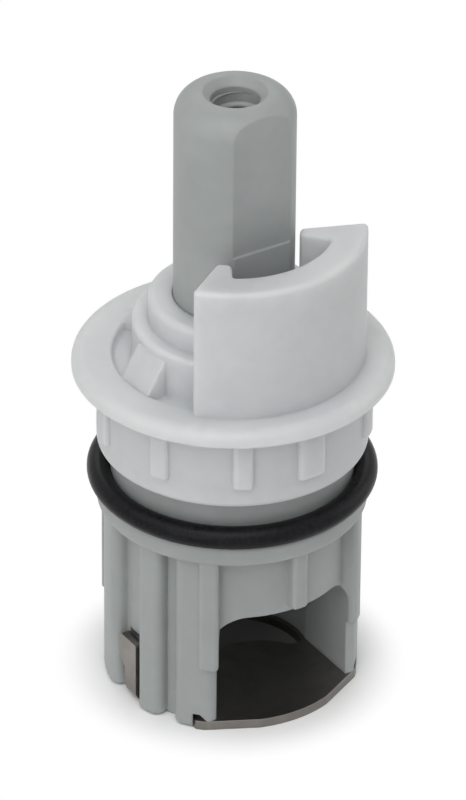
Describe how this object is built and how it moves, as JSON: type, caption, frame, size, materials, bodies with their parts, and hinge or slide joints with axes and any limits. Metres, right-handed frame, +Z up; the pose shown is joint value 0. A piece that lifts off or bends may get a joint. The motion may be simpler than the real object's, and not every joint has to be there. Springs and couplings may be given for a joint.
{
  "type": "faucet stem",
  "caption": "Quarter-turn faucet stem unit with a fluted ported barrel, a steel port plate, a body O-ring, a flanged bonnet with a crescent stop wall and a stem with flats.",
  "frame": {"origin": "on the turning axis, in the underside of the port plate", "axes": "+Z up along the stem, -Y out of the middle of the barrel's flow window at rest, +X to its left seen from outside"},
  "size_m": [0.0246, 0.0246, 0.0508],
  "materials": {
    "rotor_plastic": "moulded satin grey acetal",
    "bonnet_plastic": "moulded satin white acetal",
    "plate_steel": "stamped stainless steel sheet",
    "seal_rubber": "smooth black nitrile rubber"
  },
  "bodies": {
    "bonnet": {"bonnet": "bonnet_plastic"},
    "rotor": {"stem_rotor": "rotor_plastic", "port_plate": "plate_steel", "body_o_ring": "seal_rubber", "stem_o_ring": "seal_rubber"}
  },
  "joints": [
    {"name": "quarter_turn", "type": "hinge", "parent": "bonnet", "child": "rotor", "pos_m": [0, 0, 0], "axis": [0, 0, 1], "range_deg": [0, 90]}
  ]
}
